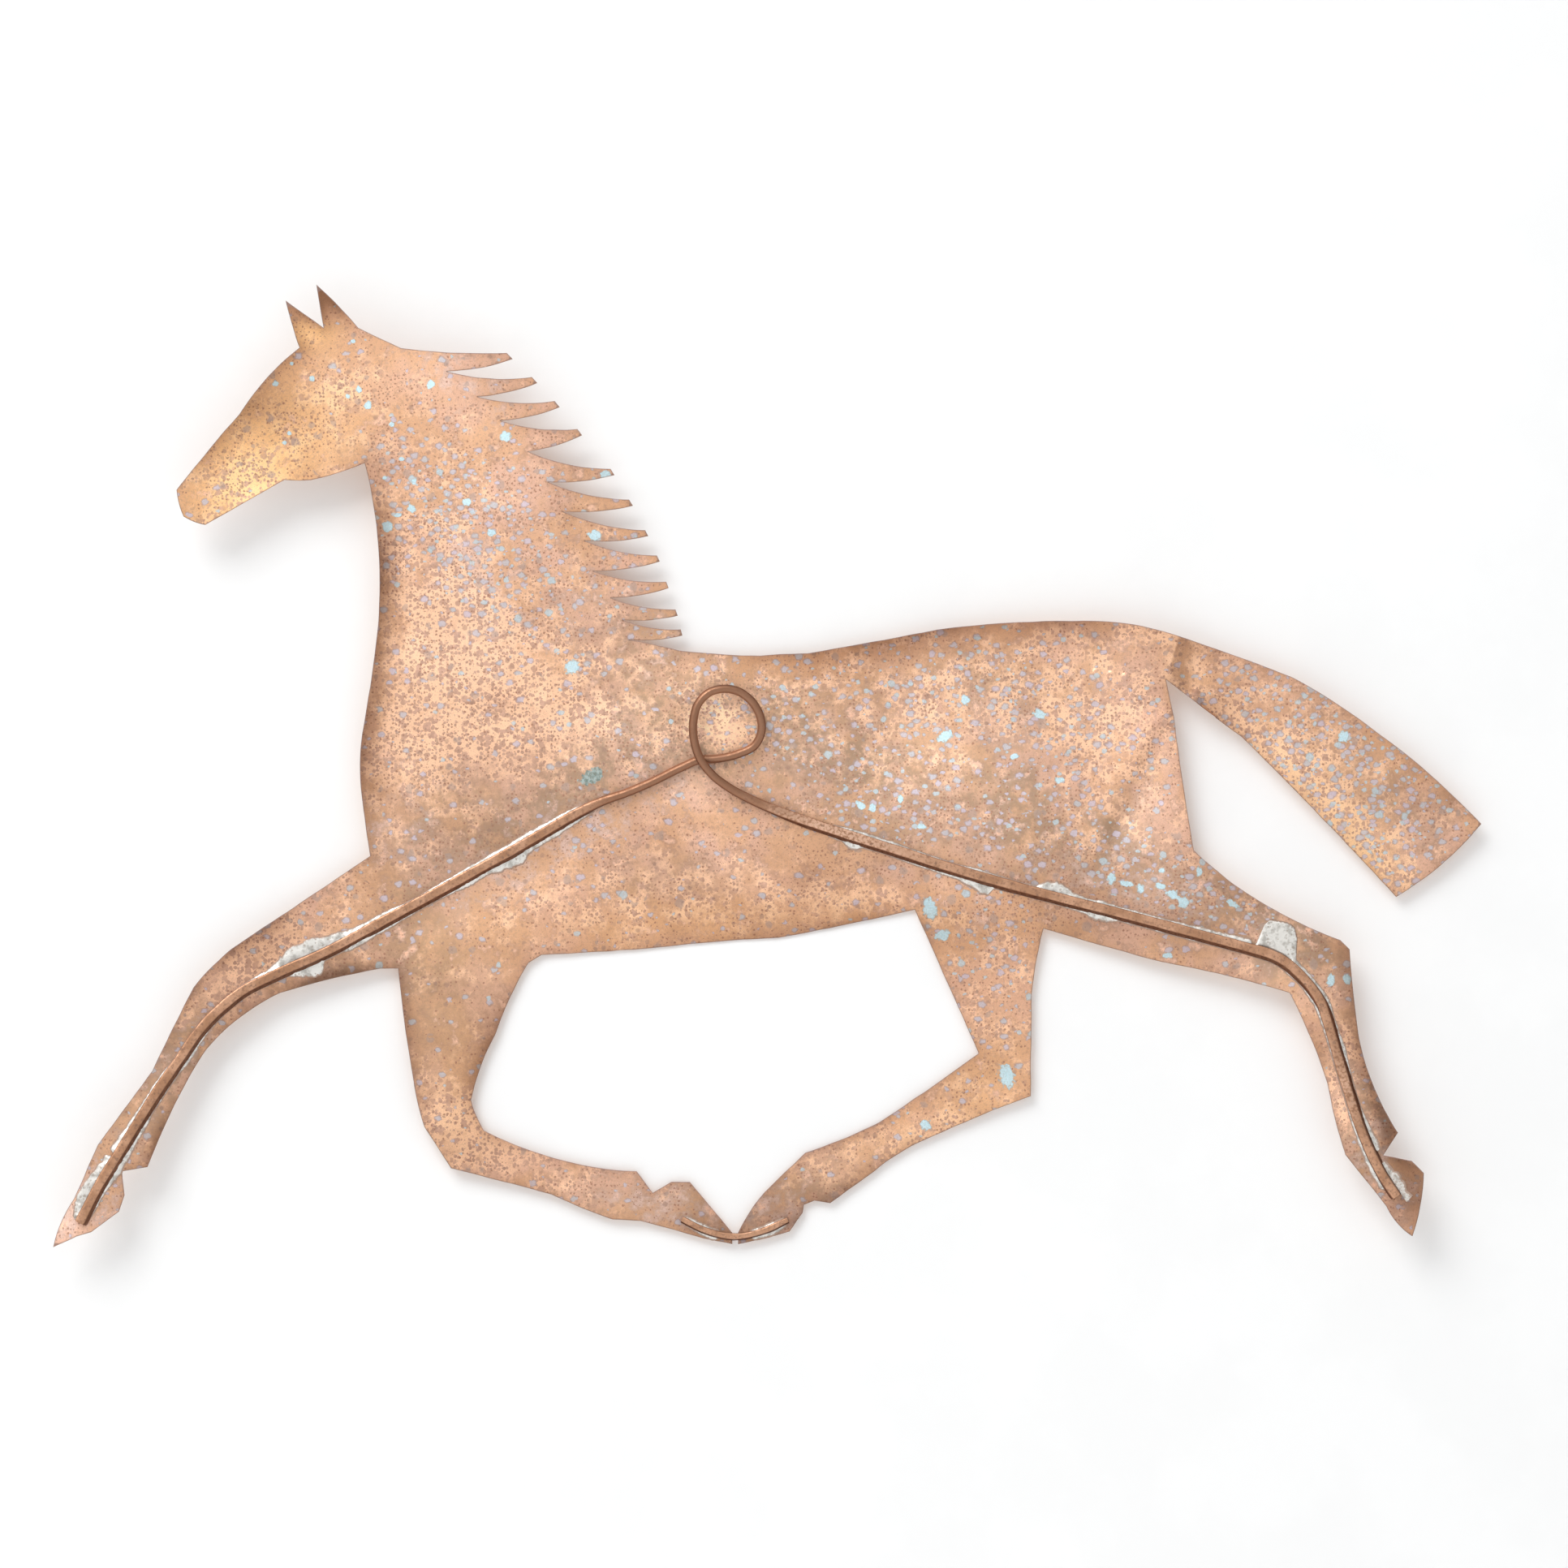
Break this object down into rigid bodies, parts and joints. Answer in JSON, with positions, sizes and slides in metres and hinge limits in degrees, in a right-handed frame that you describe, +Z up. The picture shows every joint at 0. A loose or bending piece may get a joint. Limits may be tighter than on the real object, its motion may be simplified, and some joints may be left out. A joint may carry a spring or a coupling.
{
  "type": "running horse weather vane figure",
  "caption": "Cut and dished copper sheet figure of a running horse, stiffened on its back by a soldered brace rod that crosses over itself to make a hanging loop.",
  "frame": {"origin": "middle of the hanging loop of the brace rod", "axes": "+Z up, nose towards -X and tail towards +X, braced back towards -Y, plain front face towards +Y"},
  "size_m": [0.536, 0.0259, 0.3608],
  "materials": {
    "sheet_copper": "weathered copper, mottled pink, orange and brown with pale blue-green verdigris spots",
    "rod_copper": "brown copper, hammered and rubbed bright along its edges",
    "solder": "dull silver soft solder, lumpy, grey where it has oxidised"
  },
  "bodies": {
    "root": {"horse_sheet": "sheet_copper", "brace_rod": "rod_copper", "hoof_tie": "rod_copper", "fore_seam_upper": "solder", "fore_seam_lower": "solder", "hind_seam_upper": "solder", "hind_seam_lower": "solder", "hind_shin_seam": "solder", "fore_hoof_pool": "solder", "hock_pool": "solder", "hind_hoof_pool": "solder", "fore_tie_seam": "solder", "hind_tie_seam": "solder"}
  },
  "joints": []
}
